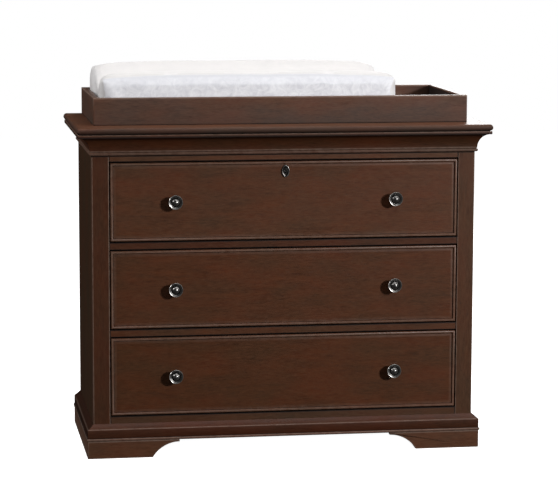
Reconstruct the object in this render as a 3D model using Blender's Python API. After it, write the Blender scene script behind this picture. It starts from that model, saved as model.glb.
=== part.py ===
"""Changing table: a three-drawer chest with a lift-off topper tray and a contoured changing pad.

Metres, +Z up. The origin is on the floor, under the middle of the tabletop.
The drawer fronts face -Y. The backs of the tabletop, the case and the topper stand in one plane.
"""

import math

import bmesh
import bpy

# ---- driving dimensions ----

# tabletop
tabletop_width = 1.112
tabletop_depth = 0.508
tabletop_thickness = 0.0177
tabletop_nose = 0.007          # how deep the rounded edge goes
tabletop_overhang = 0.041      # past the case at the front and both sides

# heights of the case front, from the floor up
base_height = 0.091
bottom_rail_reveal = 0.019     # bottom rail seen above the base moulding
opening_height = 0.214
rail_height = 0.0195
top_rail_reveal = 0.017        # top rail seen under the cornice
cornice_height = 0.0567
drawer_names = ("bottom", "middle", "top")

# case boards
side_thickness = 0.018
post_width = 0.045
post_thickness = 0.022
rail_depth = 0.060
back_thickness = 0.006
floor_board_thickness = 0.012
floor_board_drop = 0.004       # below the tops of the bottom rails
rear_rail_thickness = 0.018

# cornice, measured outwards from the case
cornice_fillet_reach = 0.0381
cornice_fillet_height = 0.0082
cornice_cove_start = 0.0050
cornice_cove_end = 0.0370
cornice_bead_reach = 0.0070
cornice_bead_height = 0.0085

# base moulding and feet
base_thickness = 0.0168
foot_height = 0.0467
base_bead_proud = 0.0028
base_bead_height = 0.0068
base_chamfer_height = 0.0129
foot_reach = 0.2454            # outer corner to the tip of the bracket
foot_length = 0.1734           # what stands on the floor
foot_tip = 0.0059              # blunt end of the bracket under the moulding

# drawers
drawer_gap = 0.003             # between a front and the frame around it
drawer_front_thickness = 0.020
front_recess = 0.0008          # field of the front behind the face of the rails
cock_bead_width = 0.0075
cock_bead_proud = 0.0036
box_side_thickness = 0.012
box_back_thickness = 0.012
box_bottom_thickness = 0.006
box_height = 0.160
box_side_clearance = 0.006     # from the box to the post beside it
box_floor_clearance = 0.004    # from the box to the rail it rides over
box_rear_clearance = 0.012     # from the closed box to the back panel
box_groove_height = 0.010
groove_depth = 0.005

# centre runners under the drawers
runner_width = 0.030
runner_height = 0.010
guide_wall = 0.005
guide_top = 0.0025
guide_side_clearance = 0.001
guide_top_clearance = 0.0006
guide_floor_clearance = 0.0015
guide_end_clearance = 0.010

# knobs and key plate
knob_radius = 0.0192
knob_length = 0.027
knob_from_center = 0.2957
knob_base_radius = 0.0085
knob_neck_radius = 0.0065
key_plate_width = 0.0215
key_plate_height = 0.0335
key_plate_thickness = 0.0032
key_plate_rim = 0.0011         # thickness at the edge of the dome
key_plate_from_bead = 0.0025
keyhole_radius = 0.0026
keyhole_slot_width = 0.0024
keyhole_length = 0.0105
keyhole_rise = 0.0018          # centre of the round hole above the middle of the plate

# topper
topper_width = 1.010
topper_depth = 0.413
topper_height = 0.0723
topper_board = 0.016
topper_floor_thickness = 0.005
topper_groove_height = 0.011

# changing pad
pad_length = 0.800
pad_front_height = 0.114
pad_back_height = 0.133
pad_valley_height = 0.082
pad_end_clearance = 0.0025
pad_side_clearance = 0.0020
pad_corner_radius = 0.030
pad_crown = 0.014              # how much lower the ends of the ridges are
pad_ridge_width = 0.045        # flat of each ridge, from the edge to where the valley begins

# fits
seat_gap = 0.0003              # between pieces that touch
round_steps = 8                # facets in a moulded curve
turned_steps = 24              # facets round a turned piece
across_steps = 12              # facets across the pad
along_steps = 10               # facets along the pad
crease_angle = math.radians(35)
pad_crease_angle = math.radians(50)

# ---- sizes that follow ----

case_width = tabletop_width - 2 * tabletop_overhang
case_half = case_width / 2
back_y = tabletop_depth / 2
front_y = -tabletop_depth / 2 + tabletop_overhang
post_inner = case_half - post_width
post_back_y = front_y + post_thickness
side_inner = case_half - side_thickness
back_panel_front_y = back_y - back_thickness
bottom_rail_top = base_height + bottom_rail_reveal
case_top = (bottom_rail_top + 3 * opening_height + 2 * rail_height
            + top_rail_reveal + cornice_height)
tabletop_bottom = case_top + seat_gap
tabletop_top = tabletop_bottom + tabletop_thickness
cornice_bottom = case_top - cornice_height
drawer_front_y = front_y + front_recess
drawer_front_back_y = drawer_front_y + drawer_front_thickness
box_half = post_inner - box_side_clearance
box_front_y = drawer_front_back_y + seat_gap
box_back_y = back_panel_front_y - box_rear_clearance
topper_bottom = tabletop_top + seat_gap
topper_front_y = back_y - topper_depth
topper_floor_bottom = topper_bottom + topper_groove_height
topper_floor_top = topper_floor_bottom + topper_floor_thickness


def opening_bottom(level):
    """Height of the rail top under the drawer at this level, 0 being the lowest."""
    return bottom_rail_top + level * (opening_height + rail_height)


# ---- materials ----

def make_material(name, color, roughness, metallic=0.0):
    material = bpy.data.materials.new(name)
    material.use_nodes = True
    shader = material.node_tree.nodes["Principled BSDF"]
    shader.inputs["Base Color"].default_value = (*color, 1.0)
    shader.inputs["Roughness"].default_value = roughness
    shader.inputs["Metallic"].default_value = metallic
    material.diffuse_color = (*color, 1.0)
    return material


finishes = {
    "espresso_wood": ((0.052, 0.027, 0.019), 0.38, 0.0),
    "box_wood": ((0.55, 0.40, 0.26), 0.50, 0.0),
    "panel_wood": ((0.42, 0.30, 0.19), 0.60, 0.0),
    "pewter": ((0.060, 0.056, 0.054), 0.35, 0.9),
    "runner_wood": ((0.50, 0.36, 0.22), 0.55, 0.0),
    "plush": ((0.88, 0.87, 0.86), 0.90, 0.0),
}


# ---- mesh helpers ----

def add_object(name, mesh_data, finish, origin=(0.0, 0.0, 0.0)):
    """Turns a bmesh drawn in world coordinates into an object whose origin is at origin."""
    bmesh.ops.recalc_face_normals(mesh_data, faces=mesh_data.faces)
    bmesh.ops.translate(mesh_data, verts=mesh_data.verts, vec=[-value for value in origin])
    mesh = bpy.data.meshes.new(name)
    mesh_data.to_mesh(mesh)
    mesh_data.free()
    piece = bpy.data.objects.new(name, mesh)
    piece.location = origin
    bpy.context.scene.collection.objects.link(piece)
    mesh.materials.append(make_material(name, *finishes[finish]))
    return piece


def make_rings(rings):
    """Closed mesh through a stack of rings, each a list of the same number of points."""
    mesh_data = bmesh.new()
    loops = [[mesh_data.verts.new(point) for point in ring] for ring in rings]
    count = len(loops[0])
    for lower, upper in zip(loops, loops[1:]):
        for index in range(count):
            following = (index + 1) % count
            mesh_data.faces.new((lower[index], lower[following], upper[following], upper[index]))
    mesh_data.faces.new(list(reversed(loops[0])))
    mesh_data.faces.new(loops[-1])
    return mesh_data


def make_box(low, high):
    """Box between two corners."""
    corners = ((low[0], low[1]), (high[0], low[1]), (high[0], high[1]), (low[0], high[1]))
    return make_rings([[(x, y, z) for x, y in corners] for z in (low[2], high[2])])


def add_board(name, x_range, y_range, z_range, finish, origin=(0.0, 0.0, 0.0)):
    low = (x_range[0], y_range[0], z_range[0])
    high = (x_range[1], y_range[1], z_range[1])
    return add_object(name, make_box(low, high), finish, origin)


def grooved_section(thickness, height, groove_low, groove_size):
    """Outline of a board with a groove in its inner face: (distance from outer face, height)."""
    bottom_of_groove = thickness - groove_depth
    groove_high = groove_low + groove_size
    return [(0, 0), (thickness, 0), (thickness, groove_low), (bottom_of_groove, groove_low),
            (bottom_of_groove, groove_high), (thickness, groove_high), (thickness, height),
            (0, height)]


def mirror_side(side):
    return {"left": -1, "right": 1}[side]


# ---- case ----

def build_sides(side):
    sign = mirror_side(side)
    faces = sorted((sign * side_inner, sign * case_half))
    add_board("side_panel_" + side, faces, (post_back_y + seat_gap, back_y), (0, case_top),
              "espresso_wood")
    edges = sorted((sign * post_inner, sign * case_half))
    add_board("post_" + side, edges, (front_y, post_back_y), (0, case_top), "espresso_wood")


def build_rails():
    ends = (-post_inner + seat_gap, post_inner - seat_gap)
    depth = (front_y, front_y + rail_depth)
    add_board("rail_bottom", ends, depth, (foot_height + seat_gap, bottom_rail_top),
              "espresso_wood")
    for level, name in ((1, "rail_lower"), (2, "rail_upper")):
        top = opening_bottom(level)
        add_board(name, ends, depth, (top - rail_height, top), "espresso_wood")
    opening_top = opening_bottom(2) + opening_height
    add_board("rail_top", ends, depth, (opening_top, case_top), "espresso_wood")


def build_back():
    ends = (-side_inner + seat_gap, side_inner - seat_gap)
    rail_front = back_y - rear_rail_thickness
    rail_top = bottom_rail_top
    add_board("rear_rail_bottom", ends, (rail_front, back_y), (foot_height + seat_gap, rail_top),
              "espresso_wood")
    add_board("back_panel", ends, (back_panel_front_y, back_y), (rail_top + seat_gap, case_top),
              "panel_wood")
    stretcher_back = back_panel_front_y - seat_gap
    add_board("rear_rail_top", ends, (stretcher_back - rear_rail_thickness, stretcher_back),
              (case_top - top_rail_reveal, case_top), "box_wood")
    panel_high = rail_top - floor_board_drop
    add_board("case_bottom", ends, (front_y + rail_depth + seat_gap, rail_front - seat_gap),
              (panel_high - floor_board_thickness, panel_high), "panel_wood")


def build_tabletop():
    half_thickness = tabletop_thickness / 2
    middle = tabletop_bottom + half_thickness
    rings = []
    for step in range(round_steps + 1):
        angle = math.pi * (step / round_steps - 0.5)
        inset = tabletop_nose * (1 - math.cos(angle))
        half = tabletop_width / 2 - inset
        front = -tabletop_depth / 2 + inset
        z = middle + half_thickness * math.sin(angle)
        rings.append([(-half, front, z), (half, front, z), (half, back_y, z), (-half, back_y, z)])
    add_object("tabletop", make_rings(rings), "espresso_wood")


# ---- mouldings that wrap the front and both sides ----

def add_front_moulding(name, section):
    """section is a closed outline of (reach past the case, height)."""
    rings = []
    for sign in (-1, 1):
        rings.append([(sign * (case_half + reach), front_y - reach - seat_gap, z)
                      for reach, z in section])
    add_object(name, make_rings(rings), "espresso_wood")


def add_side_moulding(name, section, side):
    """The same section down one side, mitred to the front piece and square at the back."""
    sign = mirror_side(side)
    front_end = [(sign * (case_half + reach + seat_gap), front_y - reach + seat_gap, z)
                 for reach, z in section]
    rear_end = [(x, back_y, z) for x, y, z in front_end]
    add_object(name, make_rings([front_end, rear_end]), "espresso_wood")


def add_moulding_set(name, section):
    add_front_moulding(name + "_front", section)
    for side in ("left", "right"):
        add_side_moulding(name + "_" + side, section, side)


def cornice_section():
    """Bead, cove and fillet, from the bottom up."""
    bead_top = cornice_bottom + cornice_bead_height
    fillet_bottom = case_top - cornice_fillet_height
    section = [(0, cornice_bottom)]
    bead_flat = cornice_bead_reach - cornice_bead_height / 2
    for step in range(round_steps + 1):
        angle = math.pi * (step / round_steps - 0.5)
        section.append((bead_flat + cornice_bead_height / 2 * math.cos(angle),
                        cornice_bottom + cornice_bead_height / 2 * (1 + math.sin(angle))))
    cove_width = cornice_cove_end - cornice_cove_start
    cove_rise = fillet_bottom - bead_top
    for step in range(round_steps + 1):
        angle = math.pi / 2 * step / round_steps
        section.append((cornice_cove_start + cove_width * (1 - math.cos(angle)),
                        bead_top + cove_rise * math.sin(angle)))
    section += [(cornice_fillet_reach, fillet_bottom), (cornice_fillet_reach, case_top),
                (0, case_top)]
    return section


def base_section():
    """Bead at the bottom, plain face, then a chamfer up to the case."""
    bottom = foot_height + seat_gap
    bead_radius = base_bead_height / 2
    section = [(0, bottom), (base_thickness, bottom)]
    for step in range(round_steps + 1):
        angle = math.pi * (step / round_steps - 0.5)
        section.append((base_thickness + base_bead_proud * math.cos(angle),
                        bottom + seat_gap + bead_radius * (1 + math.sin(angle))))
    section += [(base_thickness, base_height - base_chamfer_height), (seat_gap, base_height),
                (0, base_height)]
    return section


# ---- feet ----

def build_bracket_foot(side):
    """Front board of a foot, cut to a concave bracket towards the middle."""
    sign = mirror_side(side)
    tip_x = case_half + base_thickness - foot_reach
    toe_x = case_half + base_thickness - foot_length
    run = toe_x - tip_x
    rise = foot_height - foot_tip
    radius = (run ** 2 + rise ** 2) / (2 * rise)
    sweep = math.asin(run / radius)
    curve = []
    for step in range(round_steps + 1):
        angle = sweep * step / round_steps
        curve.append((tip_x + radius * math.sin(angle), rise - radius * (1 - math.cos(angle))))
    rings = []
    for reach in (0, base_thickness):
        outline = [(case_half + reach, foot_height), (tip_x, foot_height)] + curve
        outline.append((case_half + reach, 0))
        rings.append([(sign * x, front_y - reach - seat_gap, z) for x, z in outline])
    add_object("bracket_foot_" + side, make_rings(rings), "espresso_wood")


def build_feet():
    section = [(0, 0), (base_thickness, 0), (base_thickness, foot_height), (0, foot_height)]
    for side in ("left", "right"):
        build_bracket_foot(side)
        add_side_moulding("side_foot_" + side, section, side)


# ---- drawers ----

def build_drawer_front(level, prefix, origin):
    """Board with a half-round cock bead standing proud all the way round."""
    bottom = opening_bottom(level) + drawer_gap
    top = opening_bottom(level) + opening_height - drawer_gap
    half = post_inner - drawer_gap
    profile = [(0, drawer_front_back_y)]
    for step in range(round_steps + 1):
        angle = math.pi * step / round_steps
        profile.append((cock_bead_width / 2 * (1 - math.cos(angle)),
                        drawer_front_y - cock_bead_proud * math.sin(angle)))
    rings = []
    for inset, y in profile:
        rings.append([(-half + inset, y, bottom + inset), (half - inset, y, bottom + inset),
                      (half - inset, y, top - inset), (-half + inset, y, top - inset)])
    add_object(prefix + "_front", make_rings(rings), "espresso_wood", origin)


def build_drawer_box(level, prefix, origin):
    bottom = opening_bottom(level) + box_floor_clearance
    groove_size = box_bottom_thickness + 2 * seat_gap
    outline = grooved_section(box_side_thickness, box_height, box_groove_height, groove_size)
    for side in ("left", "right"):
        sign = mirror_side(side)
        rings = [[(sign * (box_half - inward), y, bottom + z) for inward, z in outline]
                 for y in (box_front_y, box_back_y)]
        add_object(prefix + "_side_" + side, make_rings(rings), "box_wood", origin)
    inner = box_half - box_side_thickness
    panel_low = bottom + box_groove_height + seat_gap
    panel_high = panel_low + box_bottom_thickness
    panel_half = inner + groove_depth - seat_gap
    add_board(prefix + "_bottom", (-panel_half, panel_half), (box_front_y, box_back_y),
              (panel_low, panel_high), "panel_wood", origin)
    add_board(prefix + "_back", (-inner + seat_gap, inner - seat_gap),
              (box_back_y - box_back_thickness, box_back_y),
              (panel_high + seat_gap, bottom + box_height), "box_wood", origin)


def build_drawer_guide(level, prefix, origin):
    """Channel under the drawer bottom that rides along the centre runner."""
    floor = opening_bottom(level)
    leg_low = floor + guide_floor_clearance
    web_low = floor + seat_gap + runner_height + guide_top_clearance
    web_high = web_low + guide_top
    inner = runner_width / 2 + guide_side_clearance
    outer = inner + guide_wall
    section = [(-outer, leg_low), (-inner, leg_low), (-inner, web_low), (inner, web_low),
               (inner, leg_low), (outer, leg_low), (outer, web_high), (-outer, web_high)]
    ends = (box_front_y + guide_end_clearance, box_back_y - guide_end_clearance)
    rings = [[(x, y, z) for x, z in section] for y in ends]
    add_object(prefix + "_guide", make_rings(rings), "runner_wood", origin)


def build_runner(level, prefix):
    """Centre runner, from the top of the front rail to the back panel."""
    floor = opening_bottom(level) + seat_gap
    add_board("runner_" + prefix, (-runner_width / 2, runner_width / 2),
              (box_front_y + guide_end_clearance, back_panel_front_y - seat_gap),
              (floor, floor + runner_height), "runner_wood")


def knob_profile():
    """(distance from the drawer front, radius): base, neck, rim, groove and dome."""
    rim = knob_radius
    length = knob_length
    return [(0, knob_base_radius), (0.0025, knob_base_radius), (0.0045, knob_neck_radius),
            (0.0100, knob_neck_radius), (0.0130, rim * 0.62), (0.0160, rim * 0.93),
            (0.0185, rim), (0.0210, rim * 0.985), (0.0225, rim * 0.90), (0.0222, rim * 0.80),
            (0.0210, rim * 0.72), (0.0225, rim * 0.62), (0.0250, rim * 0.46),
            (length - 0.0006, rim * 0.24), (length, rim * 0.06)]


def build_knob(name, x, z, origin):
    seat_y = drawer_front_y - seat_gap
    rings = []
    for distance, radius in knob_profile():
        ring = []
        for step in range(turned_steps):
            angle = 2 * math.pi * step / turned_steps
            ring.append((x + radius * math.cos(angle), seat_y - distance,
                         z + radius * math.sin(angle)))
        rings.append(ring)
    knob = add_object(name, make_rings(rings), "pewter", origin)
    knob.data.shade_smooth()
    knob.data.set_sharp_from_angle(angle=crease_angle)


def build_knobs(level, prefix, origin):
    center_z = opening_bottom(level) + opening_height / 2
    for side in ("left", "right"):
        build_knob(prefix + "_knob_" + side, mirror_side(side) * knob_from_center, center_z,
                   origin)


def build_keyhole_cutter(center_z):
    """Round hole with a slot running down from it."""
    points = []
    slot_half = keyhole_slot_width / 2
    start = math.asin(slot_half / keyhole_radius)
    for step in range(turned_steps + 1):
        angle = -math.pi / 2 + start + (2 * math.pi - 2 * start) * step / turned_steps
        points.append((keyhole_radius * math.cos(angle), keyhole_radius * math.sin(angle)))
    slot_end = keyhole_radius - keyhole_length
    points += [(-slot_half, slot_end), (slot_half, slot_end)]
    reach = key_plate_thickness * 2
    seat_y = drawer_front_y
    rings = [[(x, y, center_z + keyhole_rise + z) for x, z in points]
             for y in (seat_y - reach, seat_y + reach)]
    cutter = add_object("keyhole_cutter", make_rings(rings), "pewter")
    cutter.display_type = "WIRE"
    cutter.hide_render = True
    return cutter


def build_key_plate(origin):
    """Oval domed plate near the top edge of the top drawer."""
    front_top = opening_bottom(2) + opening_height - drawer_gap
    center_z = front_top - cock_bead_width - key_plate_from_bead - key_plate_height / 2
    seat_y = drawer_front_y - seat_gap
    layers = [(1.0, 0.0), (1.0, key_plate_rim)]
    for step in range(1, round_steps):
        angle = math.pi / 2 * step / round_steps
        dome = (key_plate_thickness - key_plate_rim) * math.sin(angle)
        layers.append((math.cos(angle), key_plate_rim + dome))
    rings = []
    for scale, distance in layers:
        ring = []
        for step in range(turned_steps):
            angle = 2 * math.pi * step / turned_steps
            ring.append((key_plate_width / 2 * scale * math.cos(angle), seat_y - distance,
                         center_z + key_plate_height / 2 * scale * math.sin(angle)))
        rings.append(ring)
    plate = add_object("key_plate", make_rings(rings), "pewter", origin)
    cut = plate.modifiers.new("keyhole", "BOOLEAN")
    cut.operation = "DIFFERENCE"
    cut.object = build_keyhole_cutter(center_z)
    plate.data.shade_smooth()
    plate.data.set_sharp_from_angle(angle=crease_angle)


def build_drawer(level):
    name = drawer_names[level]
    prefix = "drawer_" + name
    origin = (0.0, front_y, opening_bottom(level) + opening_height / 2)
    build_drawer_front(level, prefix, origin)
    build_drawer_box(level, prefix, origin)
    build_drawer_guide(level, prefix, origin)
    build_knobs(level, prefix, origin)
    build_runner(level, name)
    if name == "top":
        build_key_plate(origin)


# ---- topper ----

def build_topper():
    origin = (0.0, topper_front_y, topper_bottom)
    half = topper_width / 2
    groove_size = topper_floor_thickness + 2 * seat_gap
    outline = grooved_section(topper_board, topper_height, topper_groove_height - seat_gap,
                              groove_size)
    for name, outer_y, inward in (("front", topper_front_y, 1), ("back", back_y, -1)):
        rings = [[(x, outer_y + inward * depth, topper_bottom + z) for depth, z in outline]
                 for x in (-half, half)]
        add_object("topper_" + name, make_rings(rings), "espresso_wood", origin)
    ends = (topper_front_y + topper_board + seat_gap, back_y - topper_board - seat_gap)
    for side in ("left", "right"):
        sign = mirror_side(side)
        rings = [[(sign * (half - depth), y, topper_bottom + z) for depth, z in outline]
                 for y in ends]
        add_object("topper_" + side, make_rings(rings), "espresso_wood", origin)
    inset = topper_board - groove_depth + seat_gap
    add_board("topper_floor", (-half + inset, half - inset),
              (topper_front_y + inset, back_y - inset), (topper_floor_bottom, topper_floor_top),
              "espresso_wood", origin)


# ---- changing pad ----

def pad_top(across, along, depth):
    """Height of the pad; across runs 0 to 1 from the front, along runs -1 to 1 end to end."""
    ridge = pad_front_height + (pad_back_height - pad_front_height) * across
    margin = pad_ridge_width / depth
    inside = min(max((across - margin) / (1 - 2 * margin), 0.0), 1.0)
    valley = (ridge - pad_valley_height) * math.sin(math.pi * inside) ** 1.5
    return ridge - valley - pad_crown * along ** 4


def build_pad():
    """Contoured pad: a raised ridge along the front and the back, and a valley between."""
    left = -topper_width / 2 + topper_board + pad_end_clearance
    front = topper_front_y + topper_board + pad_side_clearance
    depth = back_y - topper_board - pad_side_clearance - front
    bottom = topper_floor_top + seat_gap
    rings = []
    for station in range(along_steps + 1):
        along = -math.cos(math.pi * station / along_steps)
        from_end = (1 - abs(along)) * pad_length / 2
        short = max(0.0, pad_corner_radius - from_end)
        tuck = pad_corner_radius - math.sqrt(pad_corner_radius ** 2 - short ** 2)
        x = left + pad_length * (1 + along) / 2
        width = depth - 2 * tuck
        ring = [(x, front + tuck, bottom), (x, front + tuck + width, bottom)]
        for step in range(across_steps + 1):
            across = 1 - step / across_steps
            ring.append((x, front + tuck + width * across, bottom + pad_top(across, along, depth)))
        rings.append(ring)
    pad = add_object("changing_pad", make_rings(rings), "plush",
                     (left, topper_front_y, bottom))
    pad.data.shade_smooth()
    pad.data.set_sharp_from_angle(angle=pad_crease_angle)


def build():
    for old in list(bpy.data.objects):
        bpy.data.objects.remove(old, do_unlink=True)
    for side in ("left", "right"):
        build_sides(side)
    build_rails()
    build_back()
    build_tabletop()
    add_moulding_set("cornice", cornice_section())
    add_moulding_set("base_moulding", base_section())
    build_feet()
    for level in range(len(drawer_names)):
        build_drawer(level)
    build_topper()
    build_pad()


build()
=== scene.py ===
import math

import bmesh
import bpy
import numpy as np
from mathutils import Matrix, Vector, noise


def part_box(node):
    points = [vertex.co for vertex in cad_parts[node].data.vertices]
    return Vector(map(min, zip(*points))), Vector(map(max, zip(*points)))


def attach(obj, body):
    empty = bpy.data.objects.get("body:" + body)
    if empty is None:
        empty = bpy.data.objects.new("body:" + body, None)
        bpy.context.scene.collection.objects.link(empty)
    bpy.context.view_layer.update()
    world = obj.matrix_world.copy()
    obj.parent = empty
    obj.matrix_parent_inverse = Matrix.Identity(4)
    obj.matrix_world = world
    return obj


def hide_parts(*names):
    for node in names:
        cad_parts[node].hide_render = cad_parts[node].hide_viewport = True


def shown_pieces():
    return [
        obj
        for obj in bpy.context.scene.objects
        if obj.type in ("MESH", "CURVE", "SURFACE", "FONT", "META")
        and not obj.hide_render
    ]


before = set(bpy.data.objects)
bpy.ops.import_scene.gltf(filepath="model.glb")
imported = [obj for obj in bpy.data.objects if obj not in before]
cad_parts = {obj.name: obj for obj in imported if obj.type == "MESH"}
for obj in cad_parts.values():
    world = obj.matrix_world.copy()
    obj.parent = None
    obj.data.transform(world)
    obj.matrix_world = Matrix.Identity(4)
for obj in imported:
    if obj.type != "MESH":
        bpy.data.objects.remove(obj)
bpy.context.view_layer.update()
scene = bpy.context.scene
print("changing table: frame loaded")


# shader node helpers

def feedInputs(tree, node, inputs):
    # a socket is linked, and anything else is set
    for key, value in inputs.items():
        if isinstance(value, bpy.types.NodeSocket):
            tree.links.new(value, node.inputs[key])
        else:
            node.inputs[key].default_value = value


def addNode(tree, kind, inputs, **settings):
    node = tree.nodes.new(kind)
    for setting, value in settings.items():
        setattr(node, setting, value)
    feedInputs(tree, node, inputs)
    return node


def mathNode(tree, operation, first, second, clamp=False):
    return addNode(tree, "ShaderNodeMath", {0: first, 1: second},
                   operation=operation, use_clamp=clamp).outputs[0]


def vectorNode(tree, operation, first, second):
    return addNode(tree, "ShaderNodeVectorMath", {0: first, 1: second},
                   operation=operation).outputs[0]


def mixColor(tree, factor, first, second, blend="MIX"):
    pair = [(*value, 1.0) if isinstance(value, tuple) else value for value in (first, second)]
    return addNode(tree, "ShaderNodeMix", {0: factor, 6: pair[0], 7: pair[1]},
                   data_type="RGBA", blend_type=blend).outputs[2]


def rangeNode(tree, source, low=0.0, high=1.0, outLow=0.0, outHigh=1.0):
    inputs = {"Value": source, "From Min": low, "From Max": high,
              "To Min": outLow, "To Max": outHigh}
    return addNode(tree, "ShaderNodeMapRange", inputs).outputs["Result"]


def noiseNode(tree, place, scale, detail, output="Fac", **others):
    inputs = {"Vector": place, "Scale": scale, "Detail": detail, **others}
    return addNode(tree, "ShaderNodeTexNoise", inputs).outputs[output]


def bumpNode(tree, height, finish):
    inputs = {"Height": height, "Strength": finish["bumpStrength"],
              "Distance": finish["bumpDepth"]}
    return addNode(tree, "ShaderNodeBump", inputs).outputs["Normal"]


def attributeNode(tree, name, output="Fac"):
    return addNode(tree, "ShaderNodeAttribute", {}, attribute_name=name).outputs[output]


def groupNode(tree, group, inputs):
    return addNode(tree, "ShaderNodeGroup", inputs, node_tree=group).outputs


# shared shader node groups

def startGroup(name, inputs, outputs):
    group = bpy.data.node_groups.new(name, "ShaderNodeTree")
    for label, value in inputs.items():
        kind = "NodeSocketVector" if isinstance(value, tuple) else "NodeSocketFloat"
        socket = group.interface.new_socket(name=label, in_out="INPUT", socket_type=kind)
        socket.default_value = value
    for label in outputs:
        group.interface.new_socket(name=label, in_out="OUTPUT", socket_type="NodeSocketFloat")
    entry = group.nodes.new("NodeGroupInput")
    leave = group.nodes.new("NodeGroupOutput")
    return group, entry.outputs, leave


grainPattern = {
    "seedShift": {"X": 3.7, "Y": 1.9, "Z": 2.3},   # keeps one board's pattern off the next
    "bendScale": 3.0, "bendDetail": 2.0, "bendAmount": 0.020, "breakUp": 0.62,
    # stretch along and across the grain, noise scale and detail, size input, range kept
    "layers": {"Streaks": ((3.4, 27, 27), 3.0, 8.0, "Streak Size", (0.34, 0.66)),
               "Fine": ((20, 150, 150), 2.6, 4.0, "Streak Size", (0.34, 0.66)),
               "Pores": ((22, 330, 330), 3.0, 1.0, "Pore Size", (0.60, 0.78))},
    "cloudStretch": (4.5, 11.0, 11.0), "cloudScale": 1.6, "cloudDetail": 4.0,
    "cloudRange": (0.36, 0.64), "flushRange": (0.40, 0.66),
}


def makeGrainGroup():
    # streaks, pores and cloudy stain, with the grain along the group's own X
    pattern = grainPattern
    group, entry, leave = startGroup(
        "woodGrain", {"Vector": (0, 0, 0), "Seed": 0.0, "Streak Size": 1.0, "Pore Size": 1.0},
        ("Streaks", "Pores", "Cloud", "Flush", "Fine"))
    shift = addNode(group, "ShaderNodeCombineXYZ", {
        axis: mathNode(group, "MULTIPLY", entry["Seed"], amount)
        for axis, amount in pattern["seedShift"].items()})
    place = vectorNode(group, "ADD", entry["Vector"], shift.outputs[0])
    bend = noiseNode(group, place, pattern["bendScale"], pattern["bendDetail"], "Color")
    bendSize = addNode(group, "ShaderNodeVectorMath",
                       {0: bend, "Scale": pattern["bendAmount"]}, operation="SCALE")
    bent = vectorNode(group, "ADD", place, bendSize.outputs[0])
    masks = {}
    for label, (stretch, scale, detail, sizeInput, span) in pattern["layers"].items():
        stretched = vectorNode(group, "MULTIPLY", bent, stretch)
        scaled = mathNode(group, "MULTIPLY", entry[sizeInput], scale)
        layer = noiseNode(group, stretched, scaled, detail, Roughness=pattern["breakUp"])
        masks[label] = rangeNode(group, layer, *span)
    cloudPlace = vectorNode(group, "MULTIPLY", place, pattern["cloudStretch"])
    cloud = noiseNode(group, cloudPlace, pattern["cloudScale"], pattern["cloudDetail"], "Color")
    parts = addNode(group, "ShaderNodeSeparateColor", {"Color": cloud}).outputs
    masks["Cloud"] = rangeNode(group, parts["Red"], *pattern["cloudRange"])
    masks["Flush"] = rangeNode(group, parts["Green"], *pattern["flushRange"])
    feedInputs(group, leave, masks)
    return group


def makeWearAndLightGroup():
    # splits the shape attribute into rubbed arrises, which also carry a painted highlight, and
    # painted shade in corners, quirks, joints and undersides; the rub is broken up with noise
    group, entry, leave = startGroup(
        "wearAndPaintedLight", {"Shape": 0.0, "Vector": (0, 0, 0), "Patch Size": 60.0}, ("RubAndHighlight", "PaintedShade"))
    patch = noiseNode(group, entry["Vector"], entry["Patch Size"], 3.0)
    worn = rangeNode(group, patch, 0.02, 0.60)
    feedInputs(group, leave, {
        "RubAndHighlight": mathNode(group, "MULTIPLY", entry["Shape"], worn, clamp=True),
        "PaintedShade": mathNode(group, "MULTIPLY", entry["Shape"], -1.0, clamp=True)})
    return group


def makePlushGroup():
    # short pile: tiny tufts, slow drifts where it has been stroked, and crushed patches
    group, entry, leave = startGroup(
        "plushPile", {"Vector": (0, 0, 0), "Tuft Size": 420.0, "Drift Size": 16.0},
        ("Tuft", "Drift", "Crush"))
    crushSize = mathNode(group, "MULTIPLY", entry["Drift Size"], 2.6)
    for label, size, detail, roughness, distortion, span in (
            ("Tuft", entry["Tuft Size"], 3.0, 0.60, 0.0, (0.30, 0.70)),
            ("Drift", entry["Drift Size"], 4.0, 0.55, 0.6, (0.30, 0.70)),
            ("Crush", crushSize, 6.0, 0.65, 1.4, (0.35, 0.65))):
        layer = noiseNode(group, entry["Vector"], size, detail,
                          Roughness=roughness, Distortion=distortion)
        feedInputs(group, leave, {label: rangeNode(group, layer, *span)})
    return group


grainGroup = makeGrainGroup()
wearAndLightGroup = makeWearAndLightGroup()
plushGroup = makePlushGroup()


# materials

grainTurn = {"x": (0, 0, 0), "y": (0, 0, math.pi / 2), "z": (0, math.pi / 2, 0)}


def startMaterial(name, preview):
    material = bpy.data.materials.new(name)
    material.use_nodes = True
    material.diffuse_color = (*preview, 1.0)
    tree = material.node_tree
    place = addNode(tree, "ShaderNodeTexCoord", {}).outputs["Object"]
    return material, tree, tree.nodes["Principled BSDF"], place


def roughnessRange(tree, source, finish):
    return rangeNode(tree, source, outLow=finish["roughness"] - finish["smoother"],
                     outHigh=finish["roughness"] + finish["rougher"])


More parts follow.
